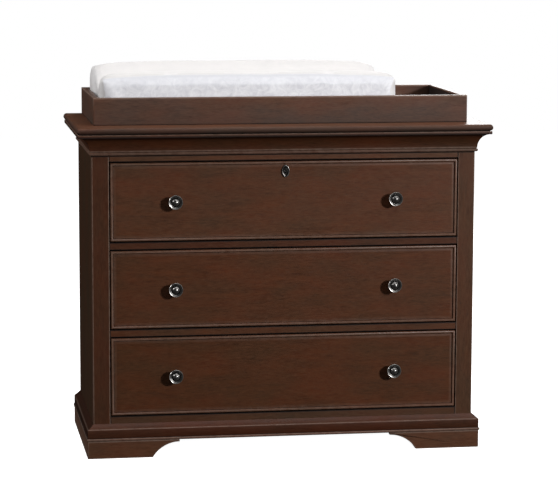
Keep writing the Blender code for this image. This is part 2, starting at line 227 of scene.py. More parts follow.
def makeWood(name, finish, grain):
    material, tree, shader, place = startMaterial(name, finish["stain"])

    def tinted(color, mask, tint):
        amount = mathNode(tree, "MULTIPLY", mask, finish[tint + "Amount"])
        return mixColor(tree, amount, color, finish[tint])

    turned = addNode(tree, "ShaderNodeMapping", {"Rotation": grainTurn[grain], "Vector": place})
    lines = groupNode(tree, grainGroup, {
        "Vector": turned.outputs[0], "Seed": attributeNode(tree, "boardSeed"),
        "Streak Size": finish["streakSize"], "Pore Size": finish["poreSize"]})
    wearAndLight = groupNode(tree, wearAndLightGroup, {"Shape": attributeNode(tree, "shape"), "Vector": place})
    color = mixColor(tree, lines["Streaks"], finish["dark"], finish["stain"])
    for mask, tint in (("Cloud", "cloud"), ("Flush", "flush"), ("Fine", "light"),
                       ("Pores", "pore")):
        color = tinted(color, lines[mask], tint)
    # per-board stain shares, with painted light and sheen folded in, darken or lighten the colour
    shade = attributeNode(tree, "boardShade", "Color")
    tone = mixColor(tree, 1.0, (1, 1, 1), shade, "SUBTRACT")
    color = mixColor(tree, 1.0, color, tone, "MULTIPLY")
    # rub with a painted highlight lightens the arrises, and painted shade darkens corners, quirks
    # and joints
    for mask, tint in (("RubAndHighlight", "rubAndHighlight"), ("PaintedShade", "paintedShade")):
        color = tinted(color, wearAndLight[mask], tint)
    gloss = roughnessRange(tree, lines["Fine"], finish)
    dull = mathNode(tree, "MULTIPLY", wearAndLight["PaintedShade"], finish["cornerDull"])
    relief = mathNode(tree, "SUBTRACT",
                      mathNode(tree, "MULTIPLY", lines["Fine"], finish["fineRelief"]),
                      lines["Pores"])
    feedInputs(tree, shader, {
        "Base Color": color, "Roughness": mathNode(tree, "ADD", gloss, dull, clamp=True),
        "Normal": bumpNode(tree, relief, finish), "Specular IOR Level": finish["specular"],
        "Coat Weight": finish["coat"], "Coat Roughness": finish["coatRoughness"]})
    return material


woodSurface = {
    "smoother": 0.04, "rougher": 0.05,     # how far the sheen wanders from its roughness
    "cornerDull": 0.5, "fineRelief": 0.35, "bumpDepth": 0.0004,
}
espresso = dict(
    woodSurface, stain=(0.0900, 0.0270, 0.0088), dark=(0.0460, 0.0140, 0.0047),
    cloud=(0.0520, 0.0250, 0.0125), flush=(0.1100, 0.0240, 0.0080),
    light=(0.1120, 0.0420, 0.0170), pore=(0.0120, 0.0048, 0.0026),
    # the rub colour is wear with a painted highlight; the near-black corner colour is painted
    # shade
    rubAndHighlight=(0.230, 0.160, 0.125), paintedShade=(0.0035, 0.0016, 0.0012),
    cloudAmount=0.74, flushAmount=0.46, lightAmount=0.56, poreAmount=0.50, rubAndHighlightAmount=0.66,
    paintedShadeAmount=0.97, streakSize=1.0, poreSize=1.0, roughness=0.42, bumpStrength=0.22,
    specular=0.25, coat=0.04, coatRoughness=0.28)
boxWood = dict(
    woodSurface, stain=(0.50, 0.34, 0.20), dark=(0.38, 0.24, 0.13), cloud=(0.55, 0.40, 0.26),
    flush=(0.52, 0.33, 0.18), light=(0.60, 0.45, 0.30), pore=(0.24, 0.14, 0.07),
    rubAndHighlight=(0.62, 0.48, 0.33), paintedShade=(0.22, 0.14, 0.08),
    cloudAmount=0.40, flushAmount=0.3, lightAmount=0.40, poreAmount=0.35, rubAndHighlightAmount=0.3,
    paintedShadeAmount=0.5, streakSize=0.8, poreSize=0.8, roughness=0.50, bumpStrength=0.25,
    specular=0.40, coat=0.0, coatRoughness=0.3)
panelWood = dict(boxWood, stain=(0.36, 0.24, 0.14), dark=(0.28, 0.18, 0.10),
                 light=(0.42, 0.30, 0.19), cloud=(0.33, 0.24, 0.15), roughness=0.60)
espressoWoods = {grain: makeWood("espressoGrain" + grain.upper(), espresso, grain)
                 for grain in "xyz"}
boxWoods = {grain: makeWood("drawerBoxGrain" + grain.upper(), boxWood, grain)
            for grain in "xy"}
thinPanel = makeWood("thinPanelGrainX", panelWood, "x")

pewter = {
    "metal": (0.240, 0.231, 0.223), "dark": (0.020, 0.018, 0.017), "rubbedHighlight": (0.62, 0.60, 0.57),
    "roughness": 0.30, "smoother": 0.06, "rougher": 0.10, "metallic": 0.92,
    "patchSize": 240.0, "speckleSize": 650.0,
    "tarnishSize": 90.0, "tarnishRange": (0.35, 0.7), "tarnishShade": 0.6,
    "bumpStrength": 0.12, "bumpDepth": 0.0002,
}


def makePewter():
    material, tree, shader, place = startMaterial("antiquePewter", pewter["metal"])
    wearAndLight = groupNode(tree, wearAndLightGroup, {"Patch Size": pewter["patchSize"], "Vector": place,
                                       "Shape": attributeNode(tree, "shape")})
    speckle = noiseNode(tree, place, pewter["speckleSize"], 4.0)
    tarnish = rangeNode(tree, noiseNode(tree, place, pewter["tarnishSize"], 3.0),
                        *pewter["tarnishRange"])
    color = mixColor(tree, tarnish, pewter["metal"],
                     tuple(pewter["tarnishShade"] * value for value in pewter["metal"]))
    # rub with a painted highlight lightens the rims, and painted shade darkens the grooves, the
    # dish of the key plate and the keyhole
    color = mixColor(tree, wearAndLight["RubAndHighlight"], color, pewter["rubbedHighlight"])
    color = mixColor(tree, wearAndLight["PaintedShade"], color, pewter["dark"])
    feedInputs(tree, shader, {
        "Base Color": color, "Roughness": roughnessRange(tree, speckle, pewter),
        "Normal": bumpNode(tree, speckle, pewter), "Metallic": pewter["metallic"]})
    return material


plush = {
    # the top colour is lit and the side colour is a shaded, bluer copy of it for the front face:
    # painted shade; the darker colours for the bulge of the front and for the seam crease are
    # painted shade too
    "crest": (0.665, 0.642, 0.632), "shade": (0.605, 0.592, 0.590), "driftAmount": 0.55,
    "side": (0.825, 0.825, 0.852), "sideShade": (0.660, 0.660, 0.700),
    "bulgeShade": (0.530, 0.530, 0.560), "seam": (0.60, 0.585, 0.575),
    "roughness": 0.92, "smoother": 0.06, "rougher": 0.05, "specular": 0.2,
    "sheen": 0.35, "sheenRoughness": 0.4,
    "tuftRelief": 0.4, "driftRelief": 1.2, "bumpStrength": 0.45, "bumpDepth": 0.0012,
}


def makePlush():
    material, tree, shader, place = startMaterial("whitePlush", plush["crest"])
    pile = groupNode(tree, plushGroup, {"Vector": place})
    drift = mathNode(tree, "MULTIPLY", pile["Drift"], plush["driftAmount"])
    color = mixColor(tree, drift, plush["crest"], plush["shade"])
    side = mixColor(tree, pile["Crush"], plush["side"], plush["sideShade"])
    # painted shade on the front face and its bulge
    side = mixColor(tree, attributeNode(tree, "tilt"), side, plush["bulgeShade"])
    color = mixColor(tree, attributeNode(tree, "paintedSideShade"), color, side)
    # painted shade in the seam crease
    seamShadeMask = mathNode(tree, "MULTIPLY", attributeNode(tree, "shape"), -1.0, clamp=True)
    relief = mathNode(tree, "ADD",
                      mathNode(tree, "MULTIPLY", pile["Tuft"], plush["tuftRelief"]),
                      mathNode(tree, "MULTIPLY", pile["Drift"], plush["driftRelief"]))
    feedInputs(tree, shader, {
        "Base Color": mixColor(tree, seamShadeMask, color, plush["seam"]),
        "Roughness": roughnessRange(tree, pile["Tuft"], plush),
        "Normal": bumpNode(tree, relief, plush), "Sheen Weight": plush["sheen"],
        "Sheen Roughness": plush["sheenRoughness"], "Specular IOR Level": plush["specular"]})
    return material


pewterMetal = makePewter()
plushCloth = makePlush()
print("changing table: materials made")


# mesh helpers

boardStainAndLight = {            # red, green and blue shares for each board: how it took the stain, with painted light folded in: darker on the left post, the sides and the lower drawers, and a grey-blue painted sheen on the top, the topper and the feet
    "post_left": (0.64, 0.60, 0.54), "post_right": (0.76, 0.86, 0.90),
    "rail_top": (0.98, 1.12, 1.24), "rail_upper": (0.69, 0.63, 0.60),
    "rail_lower": (0.81, 0.86, 0.86), "rail_bottom": (0.72, 0.90, 1.05),
    "side_panel": (0.54, 0.70, 0.74), "base_moulding_return": (0.34, 0.30, 0.24),
    "base_moulding": (0.66, 0.52, 0.43), "cornice": (0.62, 0.54, 0.42),
    "bracket_foot": (0.98, 1.14, 1.36), "side_foot": (1.15, 1.30, 1.50),
    "tabletop": (1.22, 1.42, 1.80), "topper_left": (1.00, 1.55, 2.60),
    "topper_front": (1.06, 1.48, 2.40), "topper": (0.90, 1.10, 1.50),
    "drawer_top": (0.90, 0.94, 0.96), "drawer_middle": (0.84, 0.79, 0.68),
    "drawer_bottom": (0.78, 0.72, 0.55),
}


def stainAndLightOf(name):
    return next((tone for start, tone in boardStainAndLight.items() if name.startswith(start)),
                (1.0, 1.0, 1.0))


def finishPiece(name, meshData, material, body, node, sharp=32):
    seed = 0.618 * (1 + len(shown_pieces()))
    seedLayer = meshData.verts.layers.float.new("boardSeed")
    shadeLayer = meshData.verts.layers.float_vector.new("boardShade")
    shade = Vector([1 - value for value in stainAndLightOf(name)])
    for vert in meshData.verts:
        vert[seedLayer] = seed
        vert[shadeLayer] = shade
    bmesh.ops.recalc_face_normals(meshData, faces=meshData.faces)
    mesh = bpy.data.meshes.new(name)
    meshData.to_mesh(mesh)
    meshData.free()
    mesh.materials.append(material)
    mesh.shade_smooth()
    mesh.set_sharp_from_angle(angle=math.radians(sharp))
    piece = bpy.data.objects.new(name, mesh)
    scene.collection.objects.link(piece)
    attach(piece, body)
    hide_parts(node)


def halfTurn(steps):
    # angles from straight down to straight up
    return [math.pi * (step / steps - 0.5) for step in range(steps + 1)]


def windingOf(outline):
    # 1 for a closed outline that runs anticlockwise, -1 for a clockwise one
    area = sum(a[0] * b[1] - b[0] * a[1] for a, b in zip(outline, outline[1:] + outline[:1]))
    return 1 if area > 0 else -1


def outlineTurn(outline, reach=0.0016):
    # how sharply a closed outline turns at each point: 1 on an arris, -1 in a quirk
    side = windingOf(outline)
    turns = []
    for index, point in enumerate(outline):
        before = Vector(point) - Vector(outline[index - 1])
        after = Vector(outline[(index + 1) % len(outline)]) - Vector(point)
        spread = max(min(before.length, after.length), 1e-5)
        angle = side * before.angle_signed(after, 0.0) * -1
        turns.append(max(-1.0, min(1.0, angle / spread * reach)))
    return turns


def skinLoops(meshData, loops):
    # closed skin through loops of equal count
    count = len(loops[0])
    for lower, upper in zip(loops, loops[1:]):
        for index in range(count):
            following = (index + 1) % count
            meshData.faces.new((lower[index], lower[following],
                                upper[following], upper[index]))
    meshData.faces.new(list(reversed(loops[0])))
    meshData.faces.new(loops[-1])


def sweepRings(rings, shapes):
    # shapes holds a value for each point of a ring, or a list of them for each ring
    meshData = bmesh.new()
    layer = meshData.verts.layers.float.new("shape")
    loops = []
    for ringIndex, ring in enumerate(rings):
        values = shapes[ringIndex] if isinstance(shapes[0], list) else shapes
        loop = []
        for point, value in zip(ring, values):
            vert = meshData.verts.new(point)
            vert[layer] = value
            loop.append(vert)
        loops.append(loop)
    skinLoops(meshData, loops)
    return meshData


boardGap = 0.0003           # between two boards of one body
boardEdge = {
    "margin": 0.003,        # width of the narrow faces just inside the arrises
    "jointShade": -0.9, "end": -0.95,          # shape values of the painted shade in a joint
    "shadowCuts": (0.0044, 0.0022), "shadowDepth": 0.0023,
}


def easedBoard(low, high, ease, shadeFrom, shadeEnds, shadowTop, shadeSide):
    # board with rounded arrises and a ring of narrow faces just inside them; the arrises get rub
    # with a painted highlight, and painted shade goes in joints and in the shadow line under the
    # cornice
    meshData = bmesh.new()
    layer = meshData.verts.layers.float.new("shape")
    bmesh.ops.create_cube(meshData, size=1.0)
    for vert in meshData.verts:
        for axis in range(3):
            vert.co[axis] = low[axis] if vert.co[axis] < 0 else high[axis]
    bmesh.ops.bevel(meshData, geom=meshData.edges[:], offset=ease, segments=3, profile=0.5,
                    affect="EDGES", clamp_overlap=True)
    for vert in meshData.verts:
        vert[layer] = 1.0
    meshData.normal_update()
    flats = [face for face in meshData.faces
             if max(abs(value) for value in face.normal) > 0.9999]
    shortest = min(high[axis] - low[axis] for axis in range(3))
    inset = min(boardEdge["margin"], shortest * 0.25)
    bmesh.ops.inset_individual(meshData, faces=flats, thickness=inset)
    for face in flats:
        for vert in face.verts:
            vert[layer] = 0.0
    edgeReach = ease * 1.1
    if shadeFrom is not None:
        for vert in meshData.verts:
            onSide = shadeSide is None or abs(vert.co.x - shadeSide) <= edgeReach
            if onSide and vert.co.y > shadeFrom:
                vert[layer] = boardEdge["jointShade"]
    if shadeEnds:
        for vert in meshData.verts:
            if min(vert.co.x - low.x, high.x - vert.co.x) < edgeReach:
                vert[layer] = boardEdge["end"]
    # painted shadow under the cornice along the top of the board
    if shadowTop is not None:
        for drop in boardEdge["shadowCuts"]:
            bmesh.ops.bisect_plane(
                meshData, geom=meshData.verts[:] + meshData.edges[:] + meshData.faces[:],
                plane_co=(0, 0, shadowTop - drop), plane_no=(0, 0, 1))
        for vert in meshData.verts:
            if vert.co.z > shadowTop - boardEdge["shadowDepth"]:
                vert[layer] = boardEdge["end"]
    return meshData


def boardFromNode(node, body, grain, ease, gapDepth=None):
    # past gapDepth behind its front the board gets painted shade, and so do the ends of a rail;
    # boards reaching up behind the cornice get a painted shadow line under it
    low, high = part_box(node)
    shadeFrom = None if gapDepth is None else low.y + gapDepth
    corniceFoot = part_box("cornice_front")[0].z
    shadowTop = corniceFoot if gapDepth is not None and high.z > corniceFoot else None
    shadeSide = {"post_left": high.x, "post_right": low.x}.get(node)
    meshData = easedBoard(low, high, ease, shadeFrom, grain == "x", shadowTop, shadeSide)
    finishPiece(node + "_board", meshData, espressoWoods[grain], body, node)


# case boards

caseParts = {
    "ease": 0.0009,       # radius of the softened arrises
    "gapDepth": 0.0006,   # where the painted shade of a joint starts
    "sideEase": 0.0012,
}
for node, grain in (("post_left", "z"), ("post_right", "z"), ("rail_top", "x"),
                    ("rail_upper", "x"), ("rail_lower", "x"), ("rail_bottom", "x"),
                    ("rear_rail_bottom", "x")):
    boardFromNode(node, "case", grain, caseParts["ease"],
                  None if node == "rear_rail_bottom" else caseParts["gapDepth"])
for side in ("left", "right"):
    boardFromNode("side_panel_" + side, "case", "z", caseParts["sideEase"])

tableTop = {
    "noseDepth": 0.0085,   # how far in the rounded edge starts
    "noseSteps": 14,
    "cornerRadius": 0.0055,
    "cornerSteps": 5,
    # painted shade on the rounded nose and under it
    "noseShade": 0.62, "underShade": 0.9,
    "flatInset": 0.004, "backInset": 0.001,      # where the plain face of the top starts
}


def plateOutline(half, front, back, radius, steps):
    # outline with rounded front corners, from the rear left anticlockwise
    points = [(-half, back)]
    for sign in (-1, 1):
        center = (sign * (half - radius), front + radius)
        for step in range(steps + 1):
            turn = step / steps if sign < 0 else 1 - step / steps
            angle = math.pi / 2 * turn
            points.append((center[0] + sign * radius * math.cos(angle),
                           center[1] - radius * math.sin(angle)))
    points.append((half, back))
    return points


def buildTabletop():
    low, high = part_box("tabletop")
    middle = (low.z + high.z) / 2
    halfThickness = (high.z - low.z) / 2
    rings = []
    shapes = []
    for angle in halfTurn(tableTop["noseSteps"]):
        inset = tableTop["noseDepth"] * (1 - math.cos(angle))
        outline = plateOutline(high.x - inset, low.y + inset, high.y,
                               tableTop["cornerRadius"], tableTop["cornerSteps"])
        rings.append([(x, y, middle + halfThickness * math.sin(angle)) for x, y in outline])
        # painted shade on the rounded nose, deepest under it
        under = max(0.0, -math.sin(angle))
        value = -tableTop["noseShade"] * math.cos(angle) - tableTop["underShade"] * under ** 2
        shapes.append([value] * len(outline))
    inset = tableTop["noseDepth"] + tableTop["flatInset"]
    outline = plateOutline(high.x - inset, low.y + inset, high.y - tableTop["backInset"],
                           tableTop["cornerRadius"], tableTop["cornerSteps"])
    rings.append([(x, y, high.z) for x, y in outline])
    shapes.append([0.0] * len(outline))
    finishPiece("tabletop_board", sweepRings(rings, shapes), espressoWoods["x"], "case",
                "tabletop")


buildTabletop()


# mouldings

cornice = {
    "filletReach": 0.0381, "filletHeight": 0.0082, "coveStart": 0.0050, "coveEnd": 0.0368,
    "beadReach": 0.0070, "beadHeight": 0.0085, "quirkRise": 0.0008, "quirkIn": 0.0014,
    "curveSteps": 14,
}
baseMoulding = {
    "thickness": 0.0168, "beadProud": 0.0028, "beadHeight": 0.0068, "chamferHeight": 0.0129,
    "faceHollow": 0.0006, "curveSteps": 10,
}


def corniceSection(low, high):
    steps = cornice["curveSteps"]
    beadHalf = cornice["beadHeight"] / 2
    beadFlat = cornice["beadReach"] - beadHalf
    section = [(0, low)]
    for angle in halfTurn(steps):
        section.append((beadFlat + beadHalf * math.cos(angle),
                        low + beadHalf * (1 + math.sin(angle))))
    quirk = low + cornice["beadHeight"] + cornice["quirkRise"]
    section.append((cornice["coveStart"] - cornice["quirkIn"], quirk - 0.0004))
    section.append((cornice["coveStart"], quirk + 0.0006))
    filletBottom = high - cornice["filletHeight"]
    width = cornice["coveEnd"] - cornice["coveStart"]
    rise = filletBottom - quirk - 0.0006
    for step in range(1, steps + 1):
        angle = math.pi / 2 * step / steps
        section.append((cornice["coveStart"] + width * (1 - math.cos(angle)),
                        quirk + 0.0006 + rise * math.sin(angle)))
    reach = cornice["filletReach"]
    section += [(reach - 0.0005, filletBottom), (reach - 0.0001, filletBottom + 0.0003),
                (reach, filletBottom + 0.0009), (reach, filletBottom + 0.0028),
                (reach, high - 0.0009),
                (reach - 0.0003, high - 0.0003), (reach - 0.0009, high), (0, high)]
    return section


def baseSection(low, high):
    steps = baseMoulding["curveSteps"]
    thickness = baseMoulding["thickness"]
    beadHalf = baseMoulding["beadHeight"] / 2
    section = [(0, low), (thickness - 0.0004, low), (thickness, low + 0.0003)]
    for angle in halfTurn(steps):
        section.append((thickness + baseMoulding["beadProud"] * math.cos(angle),
                        low + 0.0003 + beadHalf * (1 + math.sin(angle))))
    chamferLow = high - baseMoulding["chamferHeight"]
    section += [(thickness - 0.0008, low + 0.0009 + 2 * beadHalf),
                (thickness, low + 0.0022 + 2 * beadHalf),
                (thickness, chamferLow - 0.0022), (thickness - 0.0001, chamferLow - 0.0007),
                (thickness - 0.0007, chamferLow + 0.0003)]
    run = thickness - 0.0007
    for step in range(1, 7):
        share = step / 6
        section.append((run * (1 - share) + 0.0004 * share,
                        chamferLow + 0.0003 + (high - chamferLow - 0.0003) * share
                        - 0.0008 * math.sin(math.pi * share)))
    section.append((0, high))
    return section


def sectionShapes(section):
    # the foot of a moulding gets painted shadow where it meets the board below, and its arrises
    # get rub with a painted highlight
    shapes = [min(1.0, 1.25 * turn) for turn in outlineTurn(section)]
    for index in (0, 1, 2, -1):
        shapes[index] = -1.0
    return shapes


def baseShapes(section):
    # the flat face and the chamfer are plain, with painted shade in the quirk over the bead and
    # rub with a painted highlight on the arris into the chamfer
    shapes = sectionShapes(section)
    quirk = baseMoulding["curveSteps"] + 4
    shapes[quirk:quirk + 5] = [-0.9, -0.1, -0.1, 0.3, 0.7]
    shapes[quirk + 5:-1] = [0.0] * (len(section) - quirk - 6)
    return shapes


def corniceShapes(section):
    # the top fillet gets rub with a painted highlight along its upper arris, and painted shade
    # below it
    shapes = sectionShapes(section)
    shapes[-8:] = [-1.0, -1.0, -0.9, -0.7, 0.5, 1.0, 1.0, -1.0]
    return shapes


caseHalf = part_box("post_right")[1].x
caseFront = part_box("post_right")[0].y
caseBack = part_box("side_panel_right")[1].y


def frontMoulding(name, node, section, turns):
    rings = [[(share * (caseHalf + reach), caseFront - reach - boardGap, z)
              for reach, z in section] for share in (-1, -0.6, -0.2, 0.2, 0.6, 1)]
    finishPiece(name, sweepRings(rings, turns), espressoWoods["x"], "case", node)


def sideMoulding(name, node, section, turns, sign):
    frontEnd = [(sign * (caseHalf + reach + boardGap), caseFront - reach + boardGap, z)
                for reach, z in section]
    rearEnd = [(x, caseBack, z) for x, y, z in frontEnd]
    finishPiece(name, sweepRings([frontEnd, rearEnd], turns), espressoWoods["y"], "case", node)


sideSigns = {"left": -1, "right": 1}
for group, makeSection, makeShapes in (("cornice", corniceSection, corniceShapes),
                                       ("base_moulding", baseSection, baseShapes)):
    low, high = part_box(group + "_front")
    section = makeSection(low.z, high.z)
    turns = makeShapes(section)
    frontMoulding(group + "_front_run", group + "_front", section, turns)
    for side, sign in sideSigns.items():
        sideMoulding(group + "_return_" + side, group + "_" + side, section, turns, sign)
print("changing table: case and mouldings made")


# feet

bracket = {
    "footLength": 0.1734, "tip": 0.0059, "ease": 0.0011, "curveSteps": 18,
    "flatInset": 0.0025,      # past its eased edge the face is plain
    "mitreReach": 0.02,
}


def bracketOutline(low, high):
    # from the outer top corner round to the outer floor corner, as (distance in, height)
    reach = high.x - low.x
    run = reach - bracket["footLength"]
    rise = high.z - low.z - bracket["tip"]
    radius = (run ** 2 + rise ** 2) / (2 * rise)
    sweep = math.asin(run / radius)
    outline = [(0, high.z), (reach, high.z)]
    for step in range(bracket["curveSteps"] + 1):
        angle = sweep * step / bracket["curveSteps"]
        outline.append((reach - radius * math.sin(angle), rise - radius * (1 - math.cos(angle))))
    outline.append((0, 0.0))
    return outline


def insetOutline(outline, amount):
    # moves each side of a closed outline inwards by the same amount
    side = windingOf(outline)
    moved = []
    for index, point in enumerate(outline):
        before = (Vector(point) - Vector(outline[index - 1])).normalized()
        after = (Vector(outline[(index + 1) % len(outline)]) - Vector(point)).normalized()
        normalA = Vector((-before.y, before.x)) * side
        normalB = Vector((-after.y, after.x)) * side
        middle = (normalA + normalB).normalized()
        moved.append(Vector(point) + middle * amount / max(middle.dot(normalA), 0.3))
    return moved


def buildFeet():
    ease = bracket["ease"]
    for side, sign in sideSigns.items():
        node = "bracket_foot_" + side
        low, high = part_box(node)
        outline = bracketOutline(low, high)
        outer = max(abs(low.x), abs(high.x))
        thickness = high.y - low.y
        rings = []
        shapes = []
        # ring inset, depth, and rub with a painted highlight on the eased edge
        for inset, depth, value in ((0.0, thickness, 0.4), (0.0, ease, 0.6),
                                    (0.35 * ease, 0.25 * ease, 1.0), (ease, 0.0, 0.9),
                                    (ease + bracket["flatInset"], 0.0, 0.0)):
            ring = []
            for distance, z in insetOutline(outline, inset):
                # the mitred end follows the depth of the board
                mitre = depth if distance < bracket["mitreReach"] else 0.0
                ring.append((sign * (outer - distance - mitre), low.y + depth, z))
            rings.append(ring)
            shapes.append([value] * len(ring))
        finishPiece(node + "_board", sweepRings(rings, shapes), espressoWoods["x"], "case",
                    node)
        sideNode = "side_foot_" + side
        low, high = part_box(sideNode)
        thickness = high.x - low.x
        section = [(0, low.z), (thickness - ease, low.z), (thickness - 0.3 * ease, 0.3 * ease),
                   (thickness, ease), (thickness, high.z), (0, high.z)]
        sideMoulding(sideNode + "_board", sideNode, section, sectionShapes(section), sign)


buildFeet()
print("changing table: feet made")


# drawers

drawerFront = {
    "beadWidth": 0.0075, "beadProud": 0.0036, "beadSteps": 12,
    "quirkWidth": 0.0012, "quirkDepth": 0.0012,
    "lipWidth": 0.0042, "lipDrop": 0.0007,   # slope round the field, lit along the top, with a painted highlight along its edge
}
knob = {
    "turnSteps": 64,
    # distance from the front and share of the full radius
    "profile": [(0.0, 0.46), (0.0012, 0.47), (0.0022, 0.45), (0.0030, 0.40), (0.0042, 0.345),
                (0.0065, 0.325), (0.0090, 0.335), (0.0108, 0.38), (0.0124, 0.50),
                (0.0140, 0.68), (0.0154, 0.84), (0.0168, 0.94), (0.0182, 0.985),
                (0.0196, 1.0), (0.0208, 0.995), (0.0218, 0.975), (0.0224, 0.945),
                (0.0223, 0.905), (0.0216, 0.84), (0.0206, 0.76), (0.0197, 0.68),
                (0.0190, 0.62), (0.0183, 0.59), (0.0183, 0.56), (0.0192, 0.54),
                (0.0206, 0.515), (0.0222, 0.46), (0.0238, 0.38), (0.0252, 0.28),
                (0.0262, 0.18), (0.0268, 0.09), (0.0270, 0.02)],
    # tarnish and painted shade lie in the groove round the dome: shares of the radius, distance
    # they start at
    "tarnish": (0.52, 0.63), "tarnishFrom": 0.0170,
    "sharp": 50,
}
keyPlate = {
    "steps": 64, "holeRadius": 0.0026, "slotHalf": 0.0012, "slotEnd": -0.0079, "holeRise": 0.0018,
    # share of the way from the rim to the hole, and height above the seat
    "profile": [(0.0, 0.0), (0.0, 0.0009), (0.03, 0.0016), (0.08, 0.0024), (0.15, 0.0030),
                (0.22, 0.0032), (0.30, 0.0030), (0.40, 0.0024), (0.55, 0.0021), (0.75, 0.0021),
                (0.88, 0.0023), (0.95, 0.0024), (1.0, 0.0022), (1.0, 0.0003)],
    # bright with rub and a painted highlight on the raised rim, tarnished with painted shade
    # inside it, and painted shade, black, in the hole
    "shapes": {0.08: 0.2, 0.15: 0.4, 0.22: 0.1, 0.30: -0.8, 0.40: -0.95, 0.55: -0.9,
               0.75: -0.85, 0.88: -0.8, 0.95: -0.5, 1.0: -1.0},
}


def buildDrawerFront(level):
    node = "drawer_" + level + "_front"
    low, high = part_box(node)
    field = low.y + drawerFront["beadProud"]
    # third values: painted shade in the gap round the front and in the quirk, rub with a painted
    # highlight on the bead crest and on the lip
    profile = [(0.0012, high.y, -1.0), (0.0, high.y - 0.0012, -1.0), (0.0, field + 0.0008, -1.0),
               (0.0, field + 0.0002, -0.4)]
    for step in range(1, drawerFront["beadSteps"] + 1):
        angle = math.pi * step / drawerFront["beadSteps"]
        profile.append((drawerFront["beadWidth"] / 2 * (1 - math.cos(angle)),
                        field - drawerFront["beadProud"] * math.sin(angle),
                        0.05 + 0.55 * math.sin(angle) ** 4))
    inner = drawerFront["beadWidth"]
    quirk = drawerFront["quirkDepth"]
    width = drawerFront["quirkWidth"]
    lip = inner + width + drawerFront["lipWidth"]
    drop = drawerFront["lipDrop"]
    profile += [(inner, field + quirk, -1.0), (inner + width * 0.5, field + quirk, -1.0),
                (inner + width * 0.9, field + drop + 0.0002, -0.3),
                (inner + width, field + drop, 0.9), (inner + width + 0.0006, field + drop, 0.25),
                (lip - 0.0008, field + 0.0001, 0.1), (lip, field, 0.2), (lip + 0.003, field, 0.0)]
    rings = []
    shapes = []
    for inset, y, value in profile:
        left, right = low.x + inset, high.x - inset
        bottom, top = low.z + inset, high.z - inset
        rings.append([(left, y, bottom), (right, y, bottom), (right, y, top), (left, y, top)])
        shapes.append([value] * 4)
    finishPiece(node + "_board", sweepRings(rings, shapes), espressoWoods["x"],
                "drawer_" + level, node)


def knobMesh(center, radius, front):
    profile = knob["profile"]
    steps = knob["turnSteps"]
    outline = [(share * radius, distance) for distance, share in profile]
    closed = outline + [(0.0, profile[-1][0]), (0.0, 0.0)]
    # rims get rub with a painted highlight and hollows painted shade
    turns = outlineTurn(closed, reach=0.0011)[:len(outline)]
    # the groove round the dome gets tarnish together with painted shade
    for index, (distance, share) in enumerate(profile):
        inGroove = knob["tarnish"][0] < share < knob["tarnish"][1]
        if inGroove and distance > knob["tarnishFrom"]:
            turns[index] = -1.0
    rings = []
    for reach, distance in outline:
        rings.append([(center.x + reach * math.cos(2 * math.pi * step / steps), front - distance,
                       center.z + reach * math.sin(2 * math.pi * step / steps))
                      for step in range(steps)])
    return sweepRings(rings, [[turn] * steps for turn in turns])


def buildKnobs(level):
    for side in sideSigns:
        node = "drawer_" + level + "_knob_" + side
        low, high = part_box(node)
        meshData = knobMesh((low + high) / 2, (high.x - low.x) / 2, high.y)
        finishPiece("drawer_" + level + "_pull_" + side, meshData, pewterMetal,
                    "drawer_" + level, node, knob["sharp"])


def holeEdge(angle):
    # the outline of the keyhole, seen from a point at the middle of its round part
    radius = keyPlate["holeRadius"]
    if math.sin(angle) < 0 and abs(math.cos(angle)) > 1e-6:
        across = keyPlate["slotHalf"] / abs(math.cos(angle))
        down = -keyPlate["slotEnd"] / max(-math.sin(angle), 1e-6)
        return max(radius, min(across, down))
    if math.sin(angle) < 0:
        return -keyPlate["slotEnd"]
    return radius


def buildKeyPlate():
    low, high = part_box("key_plate")
    center = (low + high) / 2
    halfWidth = (high.x - low.x) / 2
    halfHeight = (high.z - low.z) / 2
    steps = keyPlate["steps"]
    rings = []
    shapes = []
    for share, height in keyPlate["profile"]:
        ring = []
        for step in range(steps):
            angle = 2 * math.pi * (step + 0.5) / steps
            rim = Vector((halfWidth * math.cos(angle), halfHeight * math.sin(angle)))
            reach = holeEdge(angle)
            hole = Vector((reach * math.cos(angle),
                           reach * math.sin(angle) + keyPlate["holeRise"]))
            spot = rim.lerp(hole, share)
            ring.append((center.x + spot.x, high.y - height, center.z + spot.y))
        rings.append(ring)
        shapes.append([keyPlate["shapes"].get(share, 0.0)] * steps)
    # the last ring is closed by a blind plate behind the hole
    finishPiece("key_plate_oval", sweepRings(rings, shapes), pewterMetal, "drawer_top",
                "key_plate", knob["sharp"])


for level in ("bottom", "middle", "top"):
    buildDrawerFront(level)
    buildKnobs(level)
buildKeyPlate()
print("changing table: drawer fronts, knobs and key plate made")


# topper boards keep their grooves for the tray floor

topper = {
    "ease": 0.0010, "grooveDepth": 0.005,
    "cornerShade": 0.11,      # how far along the back the painted shadow in the inner corner reaches
    "cornerReach": 0.02, "insideShadow": -0.9,
    "margin": 0.003, "edgeBand": 0.002,
}


def topperSection(thickness, low, high, grooveLow, grooveHigh):
    ease = topper["ease"]
    inner = thickness - topper["grooveDepth"]
    return [(0.0004, low), (thickness - 0.0004, low), (thickness, low + 0.0004),
            (thickness, grooveLow), (inner, grooveLow), (inner, grooveHigh),
            (thickness, grooveHigh), (thickness, high - ease - 0.004), (thickness, high - ease),
            (thickness - 0.3 * ease, high - 0.3 * ease), (thickness - ease, high),
            (thickness - ease - 0.003, high), (ease + 0.003, high), (ease, high),
            (0.3 * ease, high - 0.3 * ease), (0, high - ease), (0, high - ease - 0.004),
            (0, low + 0.0026), (0, low + 0.0004)]


def topperShapes(section):
    # arrises get rub with a painted highlight; hollows get at most a little painted shade
    shapes = [max(-0.4, min(1.0, turn)) for turn in outlineTurn(section)]
    for index in (0, 1, -1):
        shapes[index] = -1.0            # painted contact shadow along the foot of the boards
    shapes[-2] = -0.3
    return shapes


